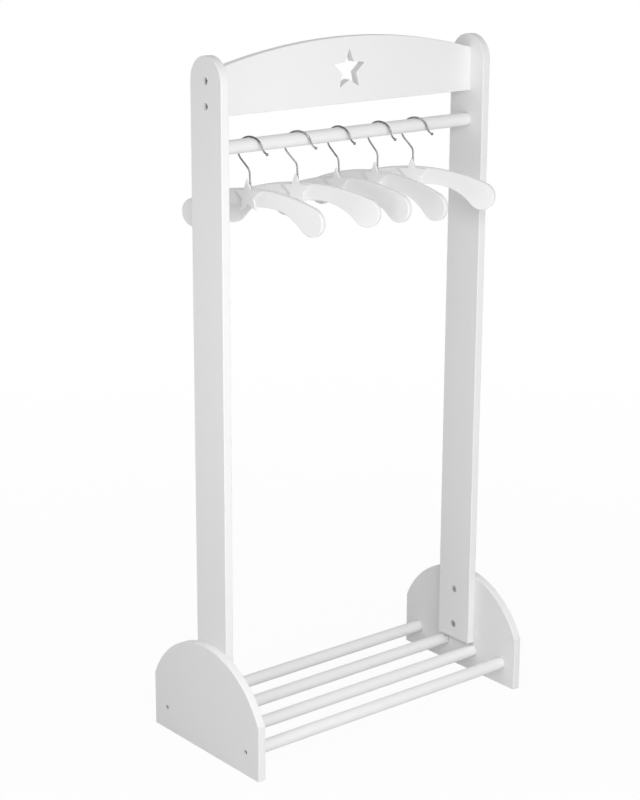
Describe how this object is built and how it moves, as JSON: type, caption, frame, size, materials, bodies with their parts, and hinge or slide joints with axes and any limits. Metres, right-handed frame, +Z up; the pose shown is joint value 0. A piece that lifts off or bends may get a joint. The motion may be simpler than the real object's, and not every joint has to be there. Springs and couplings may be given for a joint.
{
  "type": "kids clothing rack",
  "caption": "Low clothing rack with arched side panels, round-topped posts, a head board with a star cut-out, a dowel shelf, and hangers with swivel hooks on a rail.",
  "frame": {"origin": "on the floor, below the middle of the rack", "axes": "+X along the rail to the right, -Y to the front, +Z up"},
  "size_m": [0.605, 0.3, 1.2],
  "materials": {
    "white_paint": "satin white paint on wood board and turned wood",
    "hook_steel": "bright plated steel wire",
    "screw_steel": "zinc-plated steel"
  },
  "bodies": {
    "rack": {"left_side_panel": "white_paint", "right_side_panel": "white_paint", "left_post": "white_paint", "right_post": "white_paint", "head_board": "white_paint", "hanging_rail": "white_paint", "shelf_dowel_1": "white_paint", "shelf_dowel_2": "white_paint", "shelf_dowel_3": "white_paint", "shelf_dowel_4": "white_paint", "left_head_screw_upper": "screw_steel", "left_head_screw_lower": "screw_steel", "left_foot_screw_upper": "screw_steel", "left_foot_screw_lower": "screw_steel", "left_front_dowel_screw": "screw_steel", "left_back_dowel_screw": "screw_steel", "right_head_screw_upper": "screw_steel", "right_head_screw_lower": "screw_steel", "right_foot_screw_upper": "screw_steel", "right_foot_screw_lower": "screw_steel", "right_front_dowel_screw": "screw_steel", "right_back_dowel_screw": "screw_steel"},
    "hook_and_washer_1": {"hook_1": "hook_steel", "hook_washer_1": "screw_steel"},
    "hook_and_washer_2": {"hook_2": "hook_steel", "hook_washer_2": "screw_steel"},
    "hook_and_washer_3": {"hook_3": "hook_steel", "hook_washer_3": "screw_steel"},
    "hook_and_washer_4": {"hook_4": "hook_steel", "hook_washer_4": "screw_steel"},
    "hook_and_washer_5": {"hook_5": "hook_steel", "hook_washer_5": "screw_steel"},
    "hanger_board_1": {"hanger_1": "white_paint", "hanger_star_1": "white_paint"},
    "hanger_board_2": {"hanger_2": "white_paint", "hanger_star_2": "white_paint"},
    "hanger_board_3": {"hanger_3": "white_paint", "hanger_star_3": "white_paint"},
    "hanger_board_4": {"hanger_4": "white_paint", "hanger_star_4": "white_paint"},
    "hanger_board_5": {"hanger_5": "white_paint", "hanger_star_5": "white_paint"}
  },
  "joints": [
    {"name": "hook_1_slide", "type": "slide", "parent": "rack", "child": "hook_and_washer_1", "axis": [1, 0, 0], "range_m": [-0.05, 0.05]},
    {"name": "hook_2_slide", "type": "slide", "parent": "rack", "child": "hook_and_washer_2", "axis": [1, 0, 0], "range_m": [-0.05, 0.034]},
    {"name": "hook_3_slide", "type": "slide", "parent": "rack", "child": "hook_and_washer_3", "axis": [1, 0, 0], "range_m": [-0.034, 0.066]},
    {"name": "hook_4_slide", "type": "slide", "parent": "rack", "child": "hook_and_washer_4", "axis": [1, 0, 0], "range_m": [-0.066, 0.016]},
    {"name": "hook_5_slide", "type": "slide", "parent": "rack", "child": "hook_and_washer_5", "axis": [1, 0, 0], "range_m": [-0.016, 0.08]},
    {"name": "hanger_1_swivel", "type": "hinge", "parent": "hook_and_washer_1", "child": "hanger_board_1", "pos_m": [-0.20165, 0.00269, 1.02988], "axis": [-0.0245, 0.0502, 0.9984], "range_deg": [-22, 36]},
    {"name": "hanger_2_swivel", "type": "hinge", "parent": "hook_and_washer_2", "child": "hanger_board_2", "pos_m": [-0.10446, 0.00236, 1.02989], "axis": [-0.0322, 0.0412, 0.9986], "range_deg": [-42, 13]},
    {"name": "hanger_3_swivel", "type": "hinge", "parent": "hook_and_washer_3", "child": "hanger_board_3", "pos_m": [-0.01681, 0.00281, 1.02981], "axis": [-0.0268, 0.0737, 0.9969], "range_deg": [-14, 28]},
    {"name": "hanger_4_swivel", "type": "hinge", "parent": "hook_and_washer_4", "child": "hanger_board_4", "pos_m": [0.0718, 0.00277, 1.03003], "axis": [-0.0027, 0.0064, 1], "range_deg": [-6, 27]},
    {"name": "hanger_5_swivel", "type": "hinge", "parent": "hook_and_washer_5", "child": "hanger_board_5", "pos_m": [0.15039, 0.00219, 1.02997], "axis": [-0.019, 0.0204, 0.9996], "range_deg": [-42, 5]}
  ]
}
